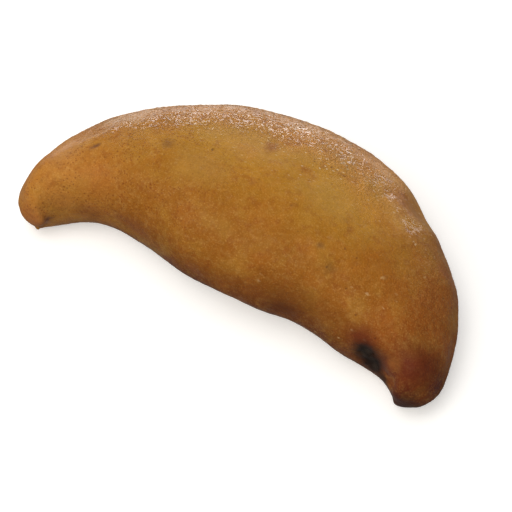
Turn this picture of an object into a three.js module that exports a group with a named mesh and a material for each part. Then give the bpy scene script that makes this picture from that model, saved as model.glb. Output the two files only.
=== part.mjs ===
// A fried half-moon empanada, made as one closed solid of dough.
//
// A round of dough is folded over its filling, sealed along the arc and fried. The fold puffs up and
// shrinks, so that side is thick and nearly straight, and both of its corners are drawn out into blunt
// horns. The sealed arc is smooth, with only a low lip where the two edges of the round were pressed
// together.
//
// All sizes are in millimetres. X runs from horn to horn, Y from the fold to the sealed arc, and Z is
// up. The origin is the middle of the underside, on the surface that the empanada lies on.

import * as THREE from 'three';
import { mergeVertices } from 'three/addons/utils/BufferGeometryUtils.js';

// ---- Driving dimensions ----

// The backbone runs through the body from tip to tip. Each station says where the middle of its
// cross-section lies, half its width, how high the crust stands, and how far it hangs clear below.
const BACKBONE = [
  { name: 'left tip', x: -55.5, y: -31, halfWidth: 7, height: 12.5, lift: 1.5 },
  { name: 'left horn', x: -57, y: -25.5, halfWidth: 6.5, height: 16.5, lift: 0.6 },
  { name: 'left shoulder', x: -48.5, y: -12, halfWidth: 13.5, height: 22.5, lift: 0 },
  { name: 'left belly', x: -33, y: -3.5, halfWidth: 20.5, height: 27, lift: 0 },
  { name: 'left of the middle', x: -16, y: 0.5, halfWidth: 26.5, height: 29, lift: 0 },
  { name: 'middle', x: 0.5, y: 2.5, halfWidth: 28, height: 29.5, lift: 0 },
  { name: 'right of the middle', x: 16.5, y: 2, halfWidth: 27, height: 29, lift: 0 },
  { name: 'right belly', x: 31.5, y: -2.5, halfWidth: 22, height: 27, lift: 0 },
  { name: 'right shoulder', x: 45, y: -10.5, halfWidth: 17, height: 22.5, lift: 0 },
  { name: 'right horn', x: 56, y: -20.5, halfWidth: 7.5, height: 16.5, lift: 0.6 },
  { name: 'right tip', x: 58, y: -28, halfWidth: 7.5, height: 12.5, lift: 1.5 },
];

// A cross-section is a superellipse that stands higher on the fold's side than on the sealed side.
const FULLNESS = 2.05;
const TOP_LEAN = 0.25;
const UNDERSIDE_LEAN = 0.15;
const WIDEST_AT = 0.4; // level of the widest girth, as a share of the height

// A cross-section faces along the chord over this share of the backbone to either side of it.
const CHORD = 0.12;

// The horns close over this length, bluntly.
const CAP_LENGTH = 9;
const CAP_FULLNESS = 2.2;

// The lip along the sealed arc: how proud it stands, and the angle to either side over which it fades.
const LIP_PROUD = 0.8;
const LIP_SPREAD = 0.16;

// The underside is pressed flat by the weight above it, with a soft edge to the flat.
const PRESSED = 1.4;
const PRESSED_EDGE = 0.5;

// Slow swells of the crust.
const SWELL_HEIGHT = 0.22;
const SWELL_LENGTH = 26;

// Dents, and with a negative depth bumps, that handling and frying left.
const KNOCKS = [
  { name: 'scorched pit by the right horn', at: [43, -23, 11], radius: 7, depth: 1.6 },
  { name: 'bulge before the step in the arc', at: [28.5, 24.5, 16], radius: 9, depth: -0.8 },
  { name: 'step in the arc', at: [36, 18.5, 15.5], radius: 7.5, depth: 1.6 },
  { name: 'swelling beyond the step', at: [41.5, 14, 16.5], radius: 6, depth: -0.7 },
  { name: 'flat on the arc at the right', at: [48, 10, 13], radius: 9, depth: 0.8 },
  { name: 'inner corner of the right horn', at: [51.5, -26.5, 5.5], radius: 4.5, depth: -0.7 },
  { name: 'hollow inside the right tip', at: [53, -29, 5.5], radius: 3, depth: 0.8 },
  { name: 'nick in the right tip', at: [57.5, -28, 5.5], radius: 2.8, depth: 1.2 },
  { name: 'outer corner of the right tip', at: [55, -28.5, 3], radius: 3, depth: -1.8 },
  { name: 'fold in the left horn', at: [-51.5, -28, 7.5], radius: 4, depth: 0.6 },
  { name: 'hollow in the left tip', at: [-52.5, -30.5, 4.5], radius: 3.5, depth: 1.6 },
  { name: 'end of the left tip', at: [-60, -28, 11], radius: 5, depth: 0.6 },
  { name: 'shoulder of the left horn', at: [-58, -19.5, 16], radius: 7, depth: -1.3 },
  { name: 'flat on the arc at the left', at: [-51, -3, 17.5], radius: 8, depth: 1 },
  { name: 'hollow left of the middle of the fold', at: [-8, -26, 12], radius: 7, depth: 0.6 },
  { name: 'bump in the middle of the fold', at: [2, -25.5, 12], radius: 4, depth: -0.6 },
  { name: 'bump on the fold at the right', at: [23.5, -22.5, 8.5], radius: 7, depth: -0.7 },
];

// Facets of the mesh: around a cross-section, and along the backbone.
const AROUND = 60;
const ALONG = 84;

// ---- Shape ----

const spine = new THREE.CatmullRomCurve3(
  BACKBONE.map((s) => new THREE.Vector3(s.x, s.y, 0)), false, 'catmullrom',
);
const girth = new THREE.CatmullRomCurve3(
  BACKBONE.map((s) => new THREE.Vector3(s.halfWidth, s.height, s.lift)), false, 'catmullrom',
);

// How far a point at this share of the backbone is from the nearer tip, along the backbone.
function tipDistanceMeasure(steps) {
  const run = [0];
  for (let i = 1; i <= steps; i += 1) {
    run.push(run[i - 1] + spine.getPoint((i - 1) / steps).distanceTo(spine.getPoint(i / steps)));
  }
  return (share) => {
    const at = share * steps;
    const low = Math.min(Math.floor(at), steps - 1);
    const gone = THREE.MathUtils.lerp(run[low], run[low + 1], at - low);
    return Math.min(gone, run[steps] - gone);
  };
}
const tipDistance = tipDistanceMeasure(400);

// The way a cross-section faces. A chord turns more slowly than the backbone itself, so that the
// sections don't crowd where the horns bend.
function heading(share) {
  const before = spine.getPoint(Math.max(0, share - CHORD));
  const after = spine.getPoint(Math.min(1, share + CHORD));
  return after.sub(before).normalize();
}

// A point of the superellipse, keeping the sign of each part.
function rounded(value, fullness) {
  return Math.sign(value) * Math.abs(value) ** (2 / fullness);
}

// The share of its full size that a cross-section has as a horn closes.
function capShare(distance) {
  const inside = Math.max(0, 1 - distance / CAP_LENGTH);
  return (1 - inside ** CAP_FULLNESS) ** (1 / CAP_FULLNESS);
}

// The surface before it is knocked about. share runs from tip to tip, and angle round the
// cross-section: 0 is the sealed arc, and a quarter turn is the top.
function crustPoint(share, angle) {
  const middle = spine.getPoint(share);
  const facing = heading(share);
  const { x: halfWidth, y: height, z: lift } = girth.getPoint(share);
  const closing = capShare(tipDistance(share));

  const across = rounded(Math.cos(angle), FULLNESS);
  const rise = rounded(Math.sin(angle), FULLNESS);
  const level = WIDEST_AT * height;
  const upward = rise * (height - level) * (1 - TOP_LEAN * across);
  const downward = rise * (level + PRESSED) * (1 - UNDERSIDE_LEAN * across);
  const lip = LIP_PROUD * Math.exp(-((angle / LIP_SPREAD) ** 2));
  const reach = closing * (halfWidth * across + lip);

  const centre = new THREE.Vector3(middle.x, middle.y, lift + level);
  const point = new THREE.Vector3(-facing.y, facing.x, 0).multiplyScalar(reach).add(centre);
  point.z += closing * (rise > 0 ? upward : downward);
  return { point, centre, closing };
}

// Slow swells, as crossing waves.
function swell(p) {
  const k = (2 * Math.PI) / SWELL_LENGTH;
  const first = Math.sin(k * (p.x + 0.4 * p.y) + 1.1) * Math.sin(k * (0.9 * p.y - 0.3 * p.x + p.z));
  const second = Math.sin(1.7 * k * (p.y - 0.5 * p.x) + 0.6) * Math.sin(1.5 * k * (p.x + 0.7 * p.z));
  return SWELL_HEIGHT * (first + 0.6 * second);
}

// How deep the knocks go in at a point. Each fades out at its radius.
function knockDepth(p) {
  let depth = 0;
  for (const knock of KNOCKS) {
    const away = p.distanceTo(new THREE.Vector3(...knock.at)) / knock.radius;
    if (away < 1) depth += knock.depth * (1 - away * away) ** 2;
  }
  return depth;
}

// What lies below the table is pressed flat against it, with a soft edge.
function settle(z) {
  if (z <= -PRESSED_EDGE) return 0;
  if (z >= PRESSED_EDGE) return z;
  return (z + PRESSED_EDGE) ** 2 / (4 * PRESSED_EDGE);
}

// A ball of dough, drawn out along the backbone. The ball's poles become the tips of the horns.
function makeCrust() {
  const ball = new THREE.SphereGeometry(1, AROUND, ALONG);
  ball.deleteAttribute('normal');
  ball.deleteAttribute('uv');
  const crust = mergeVertices(ball);
  const position = crust.getAttribute('position');
  const onBall = new THREE.Vector3();
  for (let i = 0; i < position.count; i += 1) {
    onBall.fromBufferAttribute(position, i);
    const share = (1 - onBall.y) / 2;
    const { point, centre, closing } = crustPoint(share, Math.atan2(onBall.z, onBall.x));
    const outward = point.clone().sub(centre).normalize();
    point.addScaledVector(outward, closing * (swell(point) - knockDepth(point)));
    position.setXYZ(i, point.x, point.y, settle(point.z));
  }
  return crust;
}

// Puts the origin at the middle of the underside.
function centreOnBase(geometry) {
  geometry.computeBoundingBox();
  const { min, max } = geometry.boundingBox;
  geometry.translate(-(min.x + max.x) / 2, -(min.y + max.y) / 2, -min.z);
  geometry.computeVertexNormals();
  return geometry;
}

// ---- The part ----

const friedCrust = new THREE.MeshStandardMaterial({ color: 0xb57c34, roughness: 0.45, metalness: 0 });

const crust = new THREE.Mesh(centreOnBase(makeCrust()), friedCrust);
crust.name = 'crust';

const empanada = new THREE.Group();
empanada.add(crust);

export default empanada;
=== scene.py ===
"""A fried half-moon empanada on a pale table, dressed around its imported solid.

X runs from horn to horn, Y from the fold to the sealed arc and Z is up, with the origin in the middle
of the underside. The crust's sizes are in millimetres. The studio's are in metres, as Blender's are.
"""

import logging
import math
from dataclasses import dataclass, field
from enum import Enum
from typing import Any, Sequence

import bmesh
import bpy
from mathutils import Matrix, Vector

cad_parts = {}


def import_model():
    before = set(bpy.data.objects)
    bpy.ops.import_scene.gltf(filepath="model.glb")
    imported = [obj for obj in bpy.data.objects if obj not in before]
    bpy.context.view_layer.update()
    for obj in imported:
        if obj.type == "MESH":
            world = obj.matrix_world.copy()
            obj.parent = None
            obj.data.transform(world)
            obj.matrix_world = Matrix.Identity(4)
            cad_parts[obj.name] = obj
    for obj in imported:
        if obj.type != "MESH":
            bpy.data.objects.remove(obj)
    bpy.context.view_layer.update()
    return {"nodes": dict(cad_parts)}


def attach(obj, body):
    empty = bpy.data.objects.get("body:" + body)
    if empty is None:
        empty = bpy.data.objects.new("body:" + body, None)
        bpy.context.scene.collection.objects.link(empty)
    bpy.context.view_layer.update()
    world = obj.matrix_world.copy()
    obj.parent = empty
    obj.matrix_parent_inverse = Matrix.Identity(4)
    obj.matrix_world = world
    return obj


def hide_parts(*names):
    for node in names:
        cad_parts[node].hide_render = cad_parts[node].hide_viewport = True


LOG = logging.getLogger("empanada")
MM = 0.001

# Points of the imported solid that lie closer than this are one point.
SEAM = 0.001 * MM

# Noise lies around this level.
NOISE_MIDDLE = 0.5

# Colour codes turn into linear light along a straight line up to the knee, and then along a curve.
CODE_TOP = 255
KNEE = 0.04045
STRAIGHT = 12.92
OFFSET = 0.055
POWER = 2.4

Triple = tuple[float, float, float]
Colour = tuple[float, float, float, float]


# ---- Working in Blender as by hand ----


class Brush(Enum):
    """How a push fades towards the rim of the brush."""

    SMOOTH = "SMOOTH"
    ROUND = "SPHERE"
    SHARP = "SHARP"


class Axis(Enum):
    """The axes, by their number in a vector."""

    X = 0
    Y = 1
    Z = 2


def put_down() -> None:
    """Leaves nothing selected, so that the next operator meets only its own piece."""
    bpy.ops.object.select_all(action="DESELECT")


def take_up(piece: bpy.types.Object) -> None:
    """Makes a piece the only selected and the active object.

    Args:
        piece: The object to work on.
    """
    put_down()
    piece.select_set(True)
    bpy.context.view_layer.objects.active = piece


def apply_modifier(piece: bpy.types.Object, kind: str, **settings: Any) -> None:
    """Adds one modifier to a piece and applies it.

    Args:
        piece: The object to change.
        kind: The modifier's type.
        **settings: The modifier's properties.
    """
    take_up(piece)
    bpy.ops.object.modifier_add(type=kind)
    modifier = piece.modifiers[-1]
    for name, value in settings.items():
        setattr(modifier, name, value)
    bpy.ops.object.modifier_apply(modifier=modifier.name)


def turn(degrees: float, about: Vector) -> None:
    """Turns the selected points to the left, seen from above. The bare operator turns to the right.

    Args:
        degrees: How far to turn.
        about: The place that stays still.
    """
    bpy.ops.transform.rotate(value=-math.radians(degrees), orient_axis="Z", center_override=about)


def push(piece: bpy.types.Object, place: Vector, depth: float, reach: float, brush: Brush) -> None:
    """Pushes the surface near a place inwards, in edit mode, with a soft brush.

    Args:
        piece: The mesh object, in edit mode.
        place: Where the middle of the brush meets the surface.
        depth: How far the surface moves in there. Below 0 it is drawn out.
        reach: The brush's radius.
        brush: How the push fades.
    """
    bpy.ops.mesh.select_all(action="DESELECT")
    mesh = bmesh.from_edit_mesh(piece.data)
    nearest = min(mesh.verts, key=lambda point: (point.co - place).length_squared)
    nearest.select_set(True)
    mesh.select_flush_mode()
    bmesh.update_edit_mesh(piece.data, loop_triangles=False, destructive=False)
    bpy.ops.transform.translate(
        value=nearest.normal * -depth,
        use_proportional_edit=True,
        proportional_edit_falloff=brush.value,
        proportional_size=reach,
    )


# ---- Shader maths ----


def linear_light(part: float) -> float:
    """Turns one part of a colour code into linear light.

    Args:
        part: The red, green or blue part, between 0 and 1.

    Returns:
        Its linear light, between 0 and 1.
    """
    if part <= KNEE:
        return part / STRAIGHT
    return ((part + OFFSET) / (1 + OFFSET)) ** POWER


@dataclass(frozen=True)
class Tone:
    """A colour, as the hex code that a paint chart gives."""

    code: str

    def linear(self) -> Colour:
        """Returns the colour as linear light, with full cover."""
        red, green, blue = (linear_light(part / CODE_TOP) for part in bytes.fromhex(self.code[1:]))
        return (red, green, blue, 1.0)


class Field:
    """A value that changes over a surface. It wraps one socket and takes Python's operators."""

    def __init__(self, sheet: "NodeSheet", socket: bpy.types.NodeSocket) -> None:
        """Keeps the socket and the sheet that its node lies on."""
        self.sheet = sheet
        self.socket = socket

    def _math(self, operation: str, *terms: "Field | float") -> "Field":
        """Adds one Math node."""
        inputs = dict(enumerate(terms))
        return self.sheet.node("ShaderNodeMath", {"operation": operation}, inputs)

    def __add__(self, other: "Field | float") -> "Field":
        """Adds."""
        return self._math("ADD", self, other)

    def __radd__(self, other: float) -> "Field":
        """Adds to a number."""
        return self._math("ADD", other, self)

    def __sub__(self, other: "Field | float") -> "Field":
        """Subtracts."""
        return self._math("SUBTRACT", self, other)

    def __rsub__(self, other: float) -> "Field":
        """Subtracts from a number."""
        return self._math("SUBTRACT", other, self)

    def __mul__(self, other: "Field | float") -> "Field":
        """Multiplies."""
        return self._math("MULTIPLY", self, other)

    def __rmul__(self, other: float) -> "Field":
        """Multiplies a number."""
        return self._math("MULTIPLY", other, self)

    def ease(self, start: float, end: float) -> "Field":
        """Rises smoothly from 0 where the value is start to 1 where it is end.

        Args:
            start: The value that gives 0. It may be the greater of the two.
            end: The value that gives 1.

        Returns:
            The eased field.
        """
        settings = {"interpolation_type": "SMOOTHSTEP"}
        inputs = {"Value": self, "From Min": start, "From Max": end}
        return self.sheet.node("ShaderNodeMapRange", settings, inputs)


Term = Field | float | Triple | Colour

# The sockets of a Mix node that mixes colours, by number: its other sockets share their names.
MIX_AMOUNT = 0
MIX_UNDER = 6
MIX_OVER = 7
MIX_COLOUR = 2


@dataclass(frozen=True)
class Waver:
    """How an edge wavers, in millimetres: the size of one wave, and its reach to either side."""

    grain: float
    reach: float


@dataclass(frozen=True)
class Span:
    """A stretch along one axis, in millimetres, over which something comes in."""

    axis: Axis
    start: float
    end: float

    def past(self, place: float) -> float:
        """Returns how far a place is along the stretch: 0 at its start or before, 1 at its end."""
        return min(1.0, max(0.0, (place - self.start) / (self.end - self.start)))


class Layer(Enum):
    """How a layer of colour acts on what lies under it."""

    COVER = "MIX"
    STAIN = "MULTIPLY"


class NodeSheet:
    """A material's nodes, written down as Python."""

    def __init__(self, name: str) -> None:
        """Starts an empty material.

        Args:
            name: The material's name.
        """
        self.material = bpy.data.materials.new(name)
        self.material.use_nodes = True
        self.tree = self.material.node_tree
        self.tree.nodes.clear()

    def node(
        self,
        kind: str,
        settings: dict[str, Any] | None = None,
        inputs: dict[str | int, Term] | None = None,
        output: str | int = 0,
    ) -> Field:
        """Adds one node.

        Args:
            kind: The node's type.
            settings: Its own properties, which are set first.
            inputs: The values or links of its sockets, by name or number.
            output: The output that is wanted.

        Returns:
            The wanted output.
        """
        node = self.tree.nodes.new(kind)
        for name, value in (settings or {}).items():
            setattr(node, name, value)
        for name, value in (inputs or {}).items():
            if isinstance(value, Field):
                self.tree.links.new(value.socket, node.inputs[name])
            else:
                node.inputs[name].default_value = value
        return Field(self, node.outputs[output])

    def finish(self, shader: Field) -> None:
        """Links a shader to the material's output."""
        output = self.tree.nodes.new("ShaderNodeOutputMaterial")
        self.tree.links.new(shader.socket, output.inputs["Surface"])

    def place(self) -> Field:
        """Returns the place on the piece, in millimetres."""
        metres = self.node("ShaderNodeTexCoord", output="Object")
        return self.vector("SCALE", {0: metres, "Scale": 1 / MM})

    def vector(self, operation: str, inputs: dict[str | int, Term], output: int = 0) -> Field:
        """Adds one Vector Math node."""
        return self.node("ShaderNodeVectorMath", {"operation": operation}, inputs, output)

    def part(self, vector: Field, axis: Axis) -> Field:
        """Returns the part of a vector that lies along one axis."""
        return self.node("ShaderNodeSeparateXYZ", {}, {0: vector}, axis.value)

    def within(self, place: Field, spans: Sequence[Span]) -> Field | float:
        """Returns how far a place is past all of some spans.

        Args:
            place: The place, in millimetres.
            spans: The spans. Without any, every place is past them.

        Returns:
            1 past all the spans, 0 before any of them, and between the two on the way.
        """
        share: Field | float = 1.0
        for span in spans:
            share = share * self.part(place, span.axis).ease(span.start, span.end)
        return share

    def noise(self, place: Field, grain: float, detail: float = 2.0, rough: float = 0.5) -> Field:
        """Returns soft noise between 0 and 1.

        Args:
            place: The place, in millimetres.
            grain: The size of one lump, in millimetres.
            detail: How many finer layers are added.
            rough: How strong the finer layers are.

        Returns:
            The noise.
        """
        inputs = {"Vector": place, "Scale": 1 / grain, "Detail": detail, "Roughness": rough}
        return self.node("ShaderNodeTexNoise", {}, inputs)

    def wander(self, place: Field, waver: Waver) -> Field:
        """Shifts a place by noise, so that an edge drawn with it wavers.

        Args:
            place: The place, in millimetres.
            waver: How the edge wavers.

        Returns:
            The shifted place.
        """
        inputs = {"Vector": place, "Scale": 1 / waver.grain, "Detail": 2.0}
        waves = self.node("ShaderNodeTexNoise", {}, inputs, "Color")
        centred = self.vector("SUBTRACT", {0: waves, 1: (NOISE_MIDDLE, NOISE_MIDDLE, NOISE_MIDDLE)})
        shift = self.vector("SCALE", {0: centred, "Scale": 2 * waver.reach})
        return self.vector("ADD", {0: place, 1: shift})

    def blend(
        self, name: str, amount: Field | float, under: Term, over: Term, layer: Layer = Layer.COVER
    ) -> Field:
        """Lays one colour over another.

        Args:
            name: What the upper colour is, for the node's label.
            amount: How much of the upper colour shows.
            under: The lower colour.
            over: The upper colour.
            layer: How the upper colour acts on the lower.

        Returns:
            The mixed colour.
        """
        settings = {"label": name, "data_type": "RGBA", "blend_type": layer.value}
        inputs = {MIX_AMOUNT: amount, MIX_UNDER: under, MIX_OVER: over}
        return self.node("ShaderNodeMix", settings, inputs, MIX_COLOUR)


# ---- The finish ----


# The slope along the sealed arc is rough, and glossy with oil further down. Both end short of the
# right horn.
ROUGH_SLOPE = (Span(Axis.Y, -14, 2), Span(Axis.Z, 28.6, 24.6), Span(Axis.X, 35, 15))
OILY_SLOPE = (Span(Axis.Y, -12, 6), Span(Axis.Z, 28, 20), Span(Axis.X, 30, -4))


@dataclass(frozen=True)
class Zone:
    """A part of the crust with a tone of its own: mostly browning, in some zones painted shade and
    sheen. It lies where all its spans are past.
    """

    name: str
    tone: Tone
    strength: float
    spans: Sequence[Span]

    def cover(self, sheet: NodeSheet, place: Field) -> Field | float:
        """Returns how much of the zone's tone shows.

        Args:
            sheet: The material's nodes.
            place: The place, in millimetres.

        Returns:
            The cover.
        """
        return self.strength * sheet.within(place, self.spans)


@dataclass(frozen=True)
class Mottle:
    """Blotches or freckles of one size, in millimetres. They come in as the noise passes start."""

    name: str
    tone: Tone
    strength: float
    grain: float
    start: float = 0.5
    end: float = 0.72

    def cover(self, sheet: NodeSheet, place: Field) -> Field:
        """Returns how much of the mottle's tone shows.

        Args:
            sheet: The material's nodes.
            place: The place, in millimetres.

        Returns:
            The cover.
        """
        return sheet.noise(place, self.grain).ease(self.start, self.end) * self.strength


@dataclass(frozen=True)
class Shade:
    """Lighter and darker lumps of one size, in millimetres. depth is their greatest share.

    detail is how many finer layers the lumps have, and rough how strong those are.
    """

    name: str
    grain: float
    depth: float
    detail: float = 3.0
    rough: float = 0.7

    def factor(self, sheet: NodeSheet, place: Field) -> Field:
        """Returns the factor that the colour is multiplied by.

        Args:
            sheet: The material's nodes.
            place: The place, in millimetres.

        Returns:
            The factor, around 1.
        """
        lumps = sheet.noise(place, self.grain, self.detail, self.rough)
        return 1 + (lumps - NOISE_MIDDLE) * (2 * self.depth)


@dataclass(frozen=True)
class Specks:
    """Small separate spots. cell is the space that each has, and reach its radius, in millimetres.

    core is the share of the reach that has the full strength. The spots come in patches about
    patch_cells cells wide. A patch starts where the noise passes bareness, and is full patch_fade later.
    """

    name: str
    tone: Tone
    strength: float
    cell: float
    reach: float
    stretch: Triple = (1.0, 1.0, 1.0)
    where: Sequence[Span] = ()
    bareness: float = 0.45
    core: float = 0.4
    patch_cells: float = 9
    patch_fade: float = 0.12

    def cover(self, sheet: NodeSheet, place: Field) -> Field:
        """Returns how much of the specks' tone shows.

        Args:
            sheet: The material's nodes.
            place: The place, in millimetres.

        Returns:
            The cover.
        """
        drawn = sheet.node("ShaderNodeMapping", {}, {"Vector": place, "Scale": self.stretch})
        away = sheet.node("ShaderNodeTexVoronoi", {}, {"Vector": drawn, "Scale": 1 / self.cell})
        rim = self.reach / self.cell
        spots = away.ease(rim, self.core * rim) * self.strength
        patches = sheet.noise(place, self.patch_cells * self.cell)
        covered = patches.ease(self.bareness, self.bareness + self.patch_fade)
        return spots * covered * sheet.within(place, self.where)


@dataclass(frozen=True)
class Mark:
    """A patch of the crust's own colour, painted shade or painted sheen. Its sizes are in millimetres.

    turned is how far it is turned to the left, in degrees, and core is the share of its reach that has
    the full strength.
    """

    name: str
    at: Triple
    reach: Triple
    tone: Tone
    strength: float
    turned: float = 0.0
    core: float = 0.15

    def cover(self, sheet: NodeSheet, place: Field) -> Field:
        """Returns how much of the mark shows: its strength in the middle, and nothing past its rim.

        Args:
            sheet: The material's nodes.
            place: The place, in millimetres.

        Returns:
            The cover.
        """
        inputs = {
            "Vector": place,
            "Location": self.at,
            "Rotation": (0.0, 0.0, math.radians(self.turned)),
            "Scale": self.reach,
        }
        drawn = sheet.node("ShaderNodeMapping", {"vector_type": "TEXTURE"}, inputs)
        away = sheet.vector("LENGTH", {0: drawn}, 1)
        return away.ease(1.0, self.core) * self.strength


@dataclass(frozen=True)
class Gloss:
    """How the crust shines. Patches of it are smoother, with more oil, and so is the oily slope.

    matt is the roughness beside the patches, polish what a patch takes off it, and tooth what the fine
    grain adds at most. The three films of oil add up. Grains are in millimetres.
    """

    matt: float = 0.52
    polish: float = 0.14
    tooth: float = 0.1
    tooth_grain: float = 0.7
    patch_grain: float = 5.0
    patch_start: float = 0.35
    patch_end: float = 0.7
    thin_oil: float = 0.08
    patch_oil: float = 0.12
    slope_oil: float = 0.34

    def spread(self, sheet: NodeSheet, place: Field) -> tuple[Field, Field]:
        """Spreads the gloss over the crust.

        Args:
            sheet: The material's nodes.
            place: The place, in millimetres.

        Returns:
            The roughness, and how much oil lies on the crust.
        """
        patches = sheet.noise(place, self.patch_grain).ease(self.patch_start, self.patch_end)
        fine = sheet.noise(place, self.tooth_grain)
        roughness = self.matt - self.polish * patches + self.tooth * fine
        slope = sheet.within(place, OILY_SLOPE)
        oil = self.thin_oil + self.patch_oil * patches + self.slope_oil * slope
        return roughness, oil


@dataclass(frozen=True)
class Wrinkles:
    """The relief that is too fine for the mesh. Its grain and depth are in millimetres.

    everywhere is the share of the depth that the whole crust has, and slope what the rough slope adds.
    """

    grain: float = 0.55
    depth: float = 1.5
    everywhere: float = 0.13
    slope: float = 0.5

    def normal(self, sheet: NodeSheet, place: Field) -> Field:
        """Returns the normal of the wrinkled crust.

        Args:
            sheet: The material's nodes.
            place: The place, in millimetres.

        Returns:
            The normal.
        """
        share = self.everywhere + self.slope * sheet.within(place, ROUGH_SLOPE)
        height = sheet.noise(place, self.grain) * share
        inputs = {"Height": height, "Strength": 1.0, "Distance": self.depth * MM}
        return sheet.node("ShaderNodeBump", {}, inputs)


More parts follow.
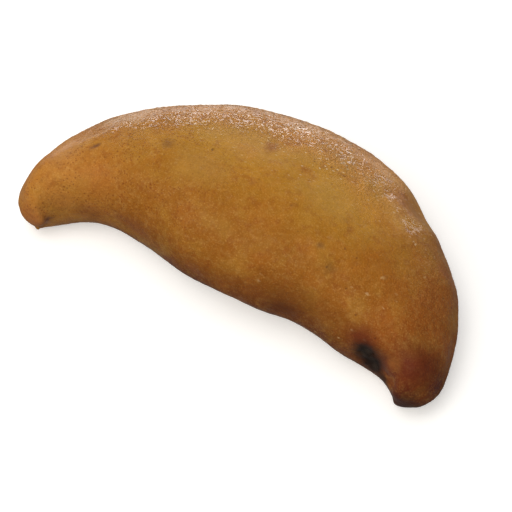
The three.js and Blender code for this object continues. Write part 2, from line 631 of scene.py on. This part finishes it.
@dataclass(frozen=True)
class FriedCrust:
    """The finish of dough that was fried golden in oil."""

    name: str = "fried_crust"
    gold: Tone = Tone("#b47f22")
    zones: Sequence[Zone] = (
        Zone("the side of the fold", Tone("#925610"), 0.95, (Span(Axis.Y, 11, -20),)),
        # Darker towards the foot of the fold: partly browning, partly painted shade low on the fold.
        Zone(
            "browning and painted shade at the foot of the fold",
            Tone("#602a06"),
            0.9,
            (Span(Axis.Z, 23, 7), Span(Axis.Y, -8, -20), Span(Axis.X, -46, -12)),
        ),
        Zone("the right horn", Tone("#965114"), 0.9, (Span(Axis.X, 30, 51),)),
        Zone("the right tip", Tone("#5a1c0a"), 0.95, (Span(Axis.X, 42, 57), Span(Axis.Y, -10, -24))),
        Zone("the left horn", Tone("#b8792e"), 0.85, (Span(Axis.X, -24, -54),)),
        # Painted shade: darker along the lowest rim, where the crust meets the table.
        Zone("painted shade on the lowest rim", Tone("#4f2209"), 0.8, (Span(Axis.Z, 10, 2), Span(Axis.X, -54, -30))),
        # Lighter along the sealed arc: partly the arc's own tone, partly a painted sheen.
        Zone(
            "the sealed arc",
            Tone("#d2904e"),
            0.7,
            (Span(Axis.Y, -8, 14), Span(Axis.Z, 28.5, 23), Span(Axis.X, 44, 20)),
        ),
        Zone("the underside", Tone("#7a4519"), 0.7, (Span(Axis.Z, 1.5, 0.1),)),
    )
    mottles: Sequence[Mottle] = (
        Mottle("orange blotches", Tone("#a66018"), 0.45, 9.0, 0.45, 0.75),
        Mottle("olive blotches", Tone("#b08430"), 0.3, 7.0, 0.45, 0.75),
        Mottle("russet freckles", Tone("#85430f"), 0.36, 2.2),
        Mottle("pale freckles", Tone("#c39550"), 0.18, 1.4, 0.45, 0.75),
        Mottle("pale grain", Tone("#d2a65c"), 0.18, 0.4),
    )
    marks: Sequence[Mark] = (
        Mark("pale gold behind the crown", (-11.0, 8.0, 27.5), (20, 9, 9), Tone("#bd8e4c"), 0.4),
        Mark("orange right of the middle", (36.0, -6.0, 25.0), (12, 10, 9), Tone("#a05812"), 0.4),
        Mark("brown in the middle of the fold", (6.0, -24.5, 15.0), (26, 6, 8), Tone("#74370d"), 0.35),
        Mark("russet on the arc at the right", (33.5, 17.0, 18.5), (10, 8, 9), Tone("#96501e"), 0.4),
        Mark("golden right of the crown", (25.0, 7.0, 26.0), (12, 9, 9), Tone("#c4842c"), 0.5),
        Mark("olive gold on the crown", (18.2, 3.4, 28.4), (15, 9, 9), Tone("#b4883c"), 0.45),
        Mark("olive gold at the left", (-16.7, -5.3, 29.5), (12, 8, 8), Tone("#ae823a"), 0.5),
        Mark("yellow in the left horn", (-48.6, -25.2, 14.6), (7, 4, 5), Tone("#b87c38"), 0.4),
        Mark("orange cheek", (-41.2, -18.5, 21.1), (9, 6, 7), Tone("#ad6c28"), 0.45),
        # Painted sheen: pale patches on the left shoulder and on the arc stand in for a soft highlight.
        Mark("painted sheen on the left shoulder", (-54.0, -13.0, 20.0), (9, 10, 7), Tone("#cf9c6e"), 0.15),
        Mark("painted sheen on the arc", (-45.0, 3.0, 20.0), (11, 7, 7), Tone("#d2a270"), 0.5),
        # Painted shade: darker under the left horn, where the crust turns under.
        Mark("painted shade under the left horn", (-41.5, -22.8, 11.0), (8, 4, 5), Tone("#7c4520"), 0.42),
        Mark("red left tip", (-54.5, -30.0, 7.5), (7, 5, 7), Tone("#9c5a30"), 0.6),
        # Painted shade: the crease in the left horn is darkened.
        Mark("crease in the left horn", (-51.5, -28.1, 7.7), (2.4, 2.0, 1.2), Tone("#6a3a24"), 0.65),
        Mark("purple bruise", (-46.1, -10.6, 23.3), (2.3, 1.0, 2.0), Tone("#583630"), 0.7, 50),
        Mark("brown smudge at the left", (-28.1, -2.7, 27.9), (2.8, 2.6, 3), Tone("#7c5227"), 0.6),
        Mark("dark dot", (-16.7, 1.2, 28.6), (0.7, 0.6, 1), Tone("#5c3a18"), 0.9),
        Mark("crumb on the left tip", (-54.2, -30.6, 2.2), (1.3, 1.2, 1.2), Tone("#b98a3c"), 0.8),
        Mark("crumb on the right", (38.8, -8.9, 25.0), (0.9, 0.6, 1), Tone("#cfa469"), 0.6, 30),
        Mark("crumb on the edge", (47.1, -1.1, 20.5), (0.9, 0.6, 1), Tone("#c0935c"), 0.6, 60),
        Mark("red smudge", (-4.0, 9.9, 27.7), (2.4, 3.4, 3), Tone("#8a4c2c"), 0.55),
        Mark("smudge on the right", (21.5, -10.0, 28.3), (1.7, 1.5, 2), Tone("#704a22"), 0.6),
        Mark("faint ring on the right", (26.2, -13.7, 26.4), (2.6, 2.6, 2.4), Tone("#6f4a1d"), 0.45),
        Mark("brown of the right fold", (22.0, -21.0, 17.5), (24, 7, 9), Tone("#6c3811"), 0.4),
        Mark("dark stretch of the fold", (18.5, -23.5, 13.0), (8, 4, 5), Tone("#5e3012"), 0.7),
        Mark("brown stretch of the fold", (-28.0, -22.0, 14.0), (9, 4, 5), Tone("#75401a"), 0.55),
        Mark("red of the right horn", (56.5, -22.5, 15.5), (10, 10, 9), Tone("#65290f"), 0.85),
        Mark("dark end of the right tip", (56.5, -29.5, 6.0), (8, 6, 7), Tone("#34120a"), 0.85),
        Mark("red above the scorch", (40.8, -22.5, 16.5), (7, 5, 6.5), Tone("#6a2c13"), 0.85),
        Mark("purple beside the scorch", (47.6, -24.0, 12.0), (4.5, 3.5, 7), Tone("#653322"), 0.75),
        # Lighter on the ridge beyond the scorch: partly ochre crust, partly a painted highlight.
        Mark("painted highlight beyond the scorch", (50.6, -23.8, 15.5), (3, 3, 4), Tone("#8f5826"), 0.6),
        Mark("edge of the scorch", (43.6, -23.3, 10.5), (7.2, 5, 9.0), Tone("#3a190d"), 0.85),
        Mark("heart of the scorch", (42.2, -23.3, 12.0), (4.8, 4, 5.6), Tone("#150e08"), 0.97),
        Mark("heart towards the edge", (45.0, -23.6, 8.4), (4.8, 4, 5.8), Tone("#150d08"), 0.97),
        Mark("char towards the tip", (48.8, -25.2, 6.0), (4, 3, 3.4), Tone("#2a140b"), 0.85),
        Mark("ash at the top", (42.7, -23.0, 12.4), (2.0, 2, 1.6), Tone("#44382e"), 0.45),
        Mark("ash in the middle", (44.2, -23.2, 10.0), (1.7, 2, 2.0), Tone("#3e332a"), 0.5),
        Mark("ash at the side", (42.0, -23.1, 10.4), (1.3, 2, 1.2), Tone("#4a3c30"), 0.35),
        Mark("ash at the foot", (45.2, -23.4, 7.8), (1.5, 2, 1.6), Tone("#3e3228"), 0.4),
    )
    specks: Sequence[Specks] = (
        Specks(
            "pores",
            Tone("#74370f"),
            0.65,
            0.9,
            0.3,
            where=(Span(Axis.X, 8, -25),),
            bareness=0.4,
        ),
        Specks("stray pores", Tone("#5a3010"), 0.62, 3.4, 0.42),
        # Painted glints: pale flecks on the far side stand in for glints that the lamps don't give
        # there.
        Specks(
            "painted glints on the far side",
            Tone("#ecd6ae"),
            0.7,
            1.5,
            0.33,
            stretch=(0.7, 1.3, 1.0),
            where=(Span(Axis.Y, -2, 12), Span(Axis.X, 52, 38)),
            bareness=0.34,
        ),
        # Pale specks: partly flour-like flecks of the crust, partly painted glints.
        Specks(
            "flour dust and painted glints",
            Tone("#d4ab6e"),
            0.15,
            1.2,
            0.3,
            stretch=(1.0, 1.5, 1.3),
            where=(Span(Axis.X, 53, 42),),
        ),
        Specks(
            "flour flecks and painted glints",
            Tone("#d9b280"),
            0.45,
            5,
            0.8,
            stretch=(1, 2.2, 1.4),
            where=(Span(Axis.X, 50, 40),),
            bareness=0.5,
        ),
    )
    shades: Sequence[Shade] = (
        Shade("clouds", 5.0, 0.16),
        Shade("crumb", 1.5, 0.15),
        Shade("grain", 0.4, 0.15),
    )
    zone_edges: Waver = Waver(16.0, 3.5)
    mark_edges: Waver = Waver(2.2, 0.9)
    speck_edges: Waver = Waver(0.6, 0.3)
    gloss: Gloss = Gloss()
    wrinkles: Wrinkles = Wrinkles()
    shine: float = 0.2
    oil_roughness: float = 0.09

    def mix(self) -> bpy.types.Material:
        """Mixes the material.

        Returns:
            The finished material.
        """
        sheet = NodeSheet(self.name)
        place = sheet.place()
        roughness, oil = self.gloss.spread(sheet, place)
        inputs = {
            "Base Color": self._colour(sheet, place),
            "Roughness": roughness,
            "Specular IOR Level": self.shine,
            "Coat Weight": oil,
            "Coat Roughness": self.oil_roughness,
            "Normal": self.wrinkles.normal(sheet, place),
        }
        shader = sheet.node("ShaderNodeBsdfPrincipled", {}, inputs)
        sheet.finish(shader)
        return sheet.material

    def _colour(self, sheet: NodeSheet, place: Field) -> Term:
        """Lays the tones over each other: the zones first, and the shades over all the rest.

        Args:
            sheet: The material's nodes.
            place: The place, in millimetres.

        Returns:
            The colour of the crust.
        """
        groups = (
            (self.zones, sheet.wander(place, self.zone_edges)),
            (self.mottles, place),
            (self.specks, sheet.wander(place, self.speck_edges)),
            (self.marks, sheet.wander(place, self.mark_edges)),
        )
        colour: Term = self.gold.linear()
        for coats, where in groups:
            for coat in coats:
                colour = sheet.blend(coat.name, coat.cover(sheet, where), colour, coat.tone.linear())
        for shade in self.shades:
            colour = sheet.blend(shade.name, 1.0, colour, shade.factor(sheet, place), Layer.STAIN)
        return colour


# ---- The empanada ----


@dataclass(frozen=True)
class Section:
    """One cross-section of the roll of dough, in millimetres, and the way it faces, in degrees."""

    x: float
    y: float
    faces: float
    half_width: float
    height: float

    def middle(self) -> Vector:
        """Returns the middle of the section."""
        return Vector((self.x, self.y, self.height / 2)) * MM


@dataclass(frozen=True)
class Relief:
    """One size of unevenness in the crust, in millimetres. It fades in along its spans."""

    name: str
    grain: float
    height: float
    where: Sequence[Span] = ()

    def raise_on(self, piece: bpy.types.Object) -> None:
        """Raises the unevenness on a piece.

        Args:
            piece: The mesh object.
        """
        pattern = bpy.data.textures.new(self.name, "CLOUDS")
        pattern.noise_basis = "BLENDER_ORIGINAL"
        pattern.noise_scale = self.grain * MM
        pattern.noise_depth = 1
        settings = {"texture": pattern, "texture_coords": "LOCAL", "strength": self.height * MM}
        if self.where:
            settings["vertex_group"] = self._weigh(piece)
        apply_modifier(piece, "DISPLACE", mid_level=NOISE_MIDDLE, **settings)

    def _weigh(self, piece: bpy.types.Object) -> str:
        """Weighs the points of a piece by how far they are past the relief's spans.

        Args:
            piece: The mesh object.

        Returns:
            The name of the group that holds the weights.
        """
        group = piece.vertex_groups.new(name=self.name)
        for point in piece.data.vertices:
            past = [span.past(point.co[span.axis.value] / MM) for span in self.where]
            group.add([point.index], math.prod(past), "REPLACE")
        return group.name


@dataclass(frozen=True)
class Knock:
    """A dent, or with a negative depth a bump, in millimetres."""

    name: str
    at: Triple
    radius: float
    depth: float
    brush: Brush = Brush.SMOOTH


@dataclass(frozen=True)
class Grade:
    """One grade of facets: their size, in millimetres, and the strokes that smooth them."""

    facet: float
    strokes: int


@dataclass
class Crust:
    """The whole empanada: one closed body of fried dough."""

    name: str = "fried_dough"
    sections: Sequence[Section] = (
        Section(-56.0, -29.6, 100.0, 4.5, 9.0),
        Section(-57.0, -24.0, 90.0, 6.5, 15.0),
        Section(-48.3, -11.9, 45.0, 13.2, 22.0),
        Section(-32.9, -3.4, 22.0, 20.1, 27.0),
        Section(-15.4, 0.6, 8.0, 25.8, 29.0),
        Section(0.1, 2.4, 2.0, 27.3, 29.5),
        Section(16.4, 2.1, -5.0, 26.8, 29.0),
        Section(31.9, -2.6, -22.0, 21.9, 27.0),
        Section(45.5, -10.6, -45.0, 16.6, 22.0),
        Section(57.0, -22.0, -85.0, 7.0, 15.0),
        Section(57.5, -27.5, -100.0, 5.0, 9.0),
    )
    around: int = 16
    grades: Sequence[Grade] = (Grade(1.2, 4), Grade(0.47, 6))
    reliefs: Sequence[Relief] = (
        Relief("slow swells", 7.0, 0.22),
        Relief("pebbles", 1.6, 0.12),
        Relief("grain", 0.8, 0.06),
        Relief("blisters", 0.9, 0.28, ROUGH_SLOPE),
        Relief("warts", 1.4, 0.28, ROUGH_SLOPE),
    )
    knocks: Sequence[Knock] = (
        Knock("upper crater of the scorch", (42.2, -23.3, 13.0), 3.2, 0.55),
        Knock("lower crater of the scorch", (45.0, -23.6, 8.6), 3.0, 0.6),
        Knock("crag in the scorch", (43.4, -23.2, 10.8), 1.4, -0.4, Brush.SHARP),
        Knock("pit in the scorch", (41.0, -23.3, 11.0), 1.3, 0.45, Brush.SHARP),
        Knock("second pit in the scorch", (44.3, -23.3, 12.6), 1.2, 0.4, Brush.SHARP),
        Knock("crag below the scorch", (43.0, -23.4, 7.2), 1.5, -0.35, Brush.SHARP),
        Knock("ridge beside the scorch", (49.6, -24.2, 12.5), 3.2, -0.45),
        Knock("soft front of the left tip", (-52.3, -29.6, 7.5), 5.0, -1.1),
        Knock("crease in the left horn", (-51.5, -28.1, 7.7), 1.5, 0.3, Brush.SHARP),
        Knock("upper end of the crease", (-52.3, -28.7, 8.6), 1.2, 0.2, Brush.SHARP),
        Knock("dent under the bruise", (-46.1, -10.6, 23.3), 1.5, 0.25),
        Knock("end of the dent", (-45.2, -9.6, 23.6), 1.2, 0.2),
        Knock("crumb on the left tip", (-54.2, -30.0, 2.4), 0.7, -0.5, Brush.ROUND),
        Knock("crumb on the right", (38.8, -8.9, 25.0), 0.9, -0.2, Brush.ROUND),
        Knock("pore on the crown", (-16.7, 1.2, 28.6), 0.6, 0.3, Brush.SHARP),
    )
    finish: FriedCrust = field(default_factory=FriedCrust)

    def build(self, solid: bpy.types.Object) -> bpy.types.Object:
        """Models and dresses the empanada.

        Args:
            solid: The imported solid, whose form the crust keeps.

        Returns:
            The finished piece.
        """
        piece = self._rough_out()
        self._take_form(piece, solid)
        for relief in self.reliefs:
            relief.raise_on(piece)
        self._knock_about(piece)
        self._press_flat(piece)
        take_up(piece)
        bpy.ops.object.shade_smooth()
        piece.data.materials.append(self.finish.mix())
        return piece

    def _rough_out(self) -> bpy.types.Object:
        """Draws a round of dough out from the left tip to the right, section by section.

        Returns:
            The rough roll.
        """
        first, *others = self.sections
        put_down()
        bpy.ops.mesh.primitive_circle_add(
            vertices=self.around,
            radius=MM,
            fill_type="NGON",
            location=first.middle(),
            rotation=(math.pi / 2, 0, math.pi / 2),
        )
        piece = bpy.context.object
        piece.name = self.name
        piece.data.name = self.name
        bpy.ops.object.transform_apply(location=True, rotation=True, scale=True)
        bpy.ops.object.mode_set(mode="EDIT")
        bpy.ops.mesh.select_all(action="SELECT")
        opening = (1, first.half_width, first.height / 2)
        bpy.ops.transform.resize(value=opening, center_override=first.middle())
        turn(first.faces, first.middle())
        here = first
        for section in others:
            step = section.middle() - here.middle()
            bpy.ops.mesh.extrude_region_move(TRANSFORM_OT_translate={"value": step})
            turn(-here.faces, section.middle())
            growth = (1, section.half_width / here.half_width, section.height / here.height)
            bpy.ops.transform.resize(value=growth, center_override=section.middle())
            turn(section.faces, section.middle())
            here = section
        bpy.ops.mesh.select_all(action="SELECT")
        bpy.ops.mesh.normals_make_consistent(inside=False)
        bpy.ops.object.mode_set(mode="OBJECT")
        apply_modifier(piece, "SUBSURF", levels=2, render_levels=2)
        return piece

    def _take_form(self, piece: bpy.types.Object, solid: bpy.types.Object) -> None:
        """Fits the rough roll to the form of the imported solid, in ever finer facets.

        Args:
            piece: The rough roll.
            solid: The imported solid.
        """
        form = self._smooth_copy(solid)
        for grade in self.grades:
            size = grade.facet * MM
            apply_modifier(piece, "SHRINKWRAP", target=form, wrap_method="NEAREST_SURFACEPOINT")
            apply_modifier(piece, "REMESH", mode="VOXEL", voxel_size=size, use_smooth_shade=True)
            apply_modifier(piece, "SHRINKWRAP", target=form, wrap_method="NEAREST_SURFACEPOINT")
            apply_modifier(piece, "SMOOTH", factor=0.5, iterations=grade.strokes)
        bpy.data.objects.remove(form)

    @staticmethod
    def _smooth_copy(solid: bpy.types.Object) -> bpy.types.Object:
        """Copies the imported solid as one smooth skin.

        Args:
            solid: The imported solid.

        Returns:
            The copy, a tool that is thrown away after use.
        """
        form = solid.copy()
        form.data = solid.data.copy()
        form.parent = None
        bpy.context.scene.collection.objects.link(form)
        take_up(form)
        bpy.ops.object.mode_set(mode="EDIT")
        bpy.ops.mesh.select_all(action="SELECT")
        bpy.ops.mesh.remove_doubles(threshold=SEAM)
        bpy.ops.object.mode_set(mode="OBJECT")
        apply_modifier(form, "SUBSURF", levels=1, render_levels=1)
        return form

    def _knock_about(self, piece: bpy.types.Object) -> None:
        """Gives the crust the dents and crumbs that handling and frying left.

        Args:
            piece: The crust.
        """
        take_up(piece)
        bpy.ops.object.mode_set(mode="EDIT")
        for knock in self.knocks:
            push(piece, Vector(knock.at) * MM, knock.depth * MM, knock.radius * MM, knock.brush)
        bpy.ops.object.mode_set(mode="OBJECT")

    @staticmethod
    def _press_flat(piece: bpy.types.Object) -> None:
        """Presses what reaches below the table flat against it.

        Args:
            piece: The crust.
        """
        take_up(piece)
        below = [point.co.z < 0 for point in piece.data.vertices]
        piece.data.vertices.foreach_set("select", below)
        bpy.ops.object.mode_set(mode="EDIT")
        bpy.ops.transform.resize(value=(1, 1, 0), center_override=(0, 0, 0))
        bpy.ops.object.mode_set(mode="OBJECT")


# ---- The studio ----


@dataclass(frozen=True)
class Lamp:
    """A soft oblong light that faces the empanada. Its sizes are in metres, and its power in watts.

    mirrored says whether the crust reflects it. A window is a row of panes, and glazed is the share of
    its length that the panes take up, the rest being frames.
    """

    name: str
    at: Triple
    size: tuple[float, float]
    power: float
    tint: Tone
    mirrored: bool = True
    panes: int = 1
    glazed: float = 1.0

    def hang(self, target: Vector) -> None:
        """Hangs the lamp.

        Args:
            target: The place that it faces.
        """
        length, height = self.size
        step = length / self.panes
        for pane in range(self.panes):
            aside = step * (pane + 0.5) - length / 2
            place = Vector(self.at) + Vector((aside, 0, 0))
            put_down()
            bpy.ops.object.light_add(type="AREA", location=place)
            lamp = bpy.context.object
            lamp.name = self.name
            lamp.data.shape = "RECTANGLE"
            lamp.data.size = step * self.glazed
            lamp.data.size_y = height
            lamp.data.energy = self.power / self.panes
            lamp.data.color = self.tint.linear()[:3]
            lamp.visible_camera = False
            lamp.visible_glossy = self.mirrored
            lamp.rotation_euler = (target - place).to_track_quat("-Z", "Y").to_euler()


@dataclass(frozen=True)
class PaleTop:
    """The finish of the table: matt and pale, with a glow of its own that lifts its shadows."""

    name: str = "pale_table"
    tone: Tone = Tone("#f4f3f1")
    roughness: float = 0.8
    glow: float = 0.4

    def mix(self) -> bpy.types.Material:
        """Mixes the material.

        Returns:
            The finished material.
        """
        sheet = NodeSheet(self.name)
        inputs = {
            "Base Color": self.tone.linear(),
            "Roughness": self.roughness,
            "Emission Color": self.tone.linear(),
            "Emission Strength": self.glow,
        }
        sheet.finish(sheet.node("ShaderNodeBsdfPrincipled", {}, inputs))
        return sheet.material


@dataclass
class Studio:
    """The pale table, the soft light and the camera.

    Angles are in degrees and sizes in metres, but for the camera's lens and sensor, in millimetres.
    """

    azimuth: float = 30.0
    elevation: float = 60.0
    distance: float = 0.42
    lens: float = 108.98
    sensor: float = 36.0
    nearest: float = 0.01
    target: Vector = field(default_factory=lambda: Vector((0.833, -6.758, 0.0)) * MM)
    table_side: float = 3.0
    table_top: PaleTop = PaleTop()
    room_tone: Tone = Tone("#ffffff")
    room_glow: float = 0.22
    lamps: Sequence[Lamp] = (
        Lamp(
            "window", (-0.215, 0.560, 0.045), (0.90, 0.12), 1.4, Tone("#f4f4f8"), panes=8, glazed=0.35
        ),
        Lamp("glare", (-0.038, 0.066, 0.004), (0.24, 0.015), 0.021, Tone("#f8f2ee")),
        Lamp("lamp", (-0.150, -0.390, 0.424), (0.80, 0.80), 3.3, Tone("#fffaf2"), mirrored=False),
        Lamp("ceiling", (-0.25, 0.20, 0.96), (1.00, 1.00), 4.4, Tone("#ffffff"), mirrored=False),
    )

    def build(self) -> None:
        """Lays the table, hangs the lights and sets up the camera."""
        self._lay_table()
        self._light_room()
        for lamp in self.lamps:
            lamp.hang(self.target)
        self._set_camera()

    def _lay_table(self) -> None:
        """Lays the pale table top."""
        put_down()
        bpy.ops.mesh.primitive_plane_add(size=self.table_side)
        table = bpy.context.object
        table.name = "table"
        table.visible_diffuse = False
        table.visible_glossy = False
        table.data.materials.append(self.table_top.mix())

    def _light_room(self) -> None:
        """Fills the room with an even pale light."""
        world = bpy.data.worlds.new("room")
        bpy.context.scene.world = world
        world.use_nodes = True
        background = world.node_tree.nodes["Background"]
        background.inputs["Color"].default_value = self.room_tone.linear()
        background.inputs["Strength"].default_value = self.room_glow
        bpy.context.scene.view_settings.view_transform = "Standard"

    def _set_camera(self) -> None:
        """Sets the camera on its arc around the target."""
        turned, raised = math.radians(self.azimuth), math.radians(self.elevation)
        back = Vector(
            (
                math.sin(turned) * math.cos(raised),
                -math.cos(turned) * math.cos(raised),
                math.sin(raised),
            )
        )
        put_down()
        bpy.ops.object.camera_add(location=self.target + back * self.distance)
        camera = bpy.context.object
        camera.rotation_euler = (-back).to_track_quat("-Z", "Y").to_euler()
        camera.data.sensor_width = self.sensor
        camera.data.lens = self.lens
        camera.data.clip_start = self.nearest
        bpy.context.scene.camera = camera


def main() -> None:
    """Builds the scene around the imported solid."""
    logging.basicConfig(level=logging.INFO, format="%(name)s: %(message)s")
    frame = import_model()
    Studio().build()
    piece = Crust().build(frame["nodes"]["crust"])
    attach(piece, "root")
    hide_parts("crust")
    LOG.info("%s: %d faces", piece.name, len(piece.data.polygons))


if __name__ == "__main__":
    main()
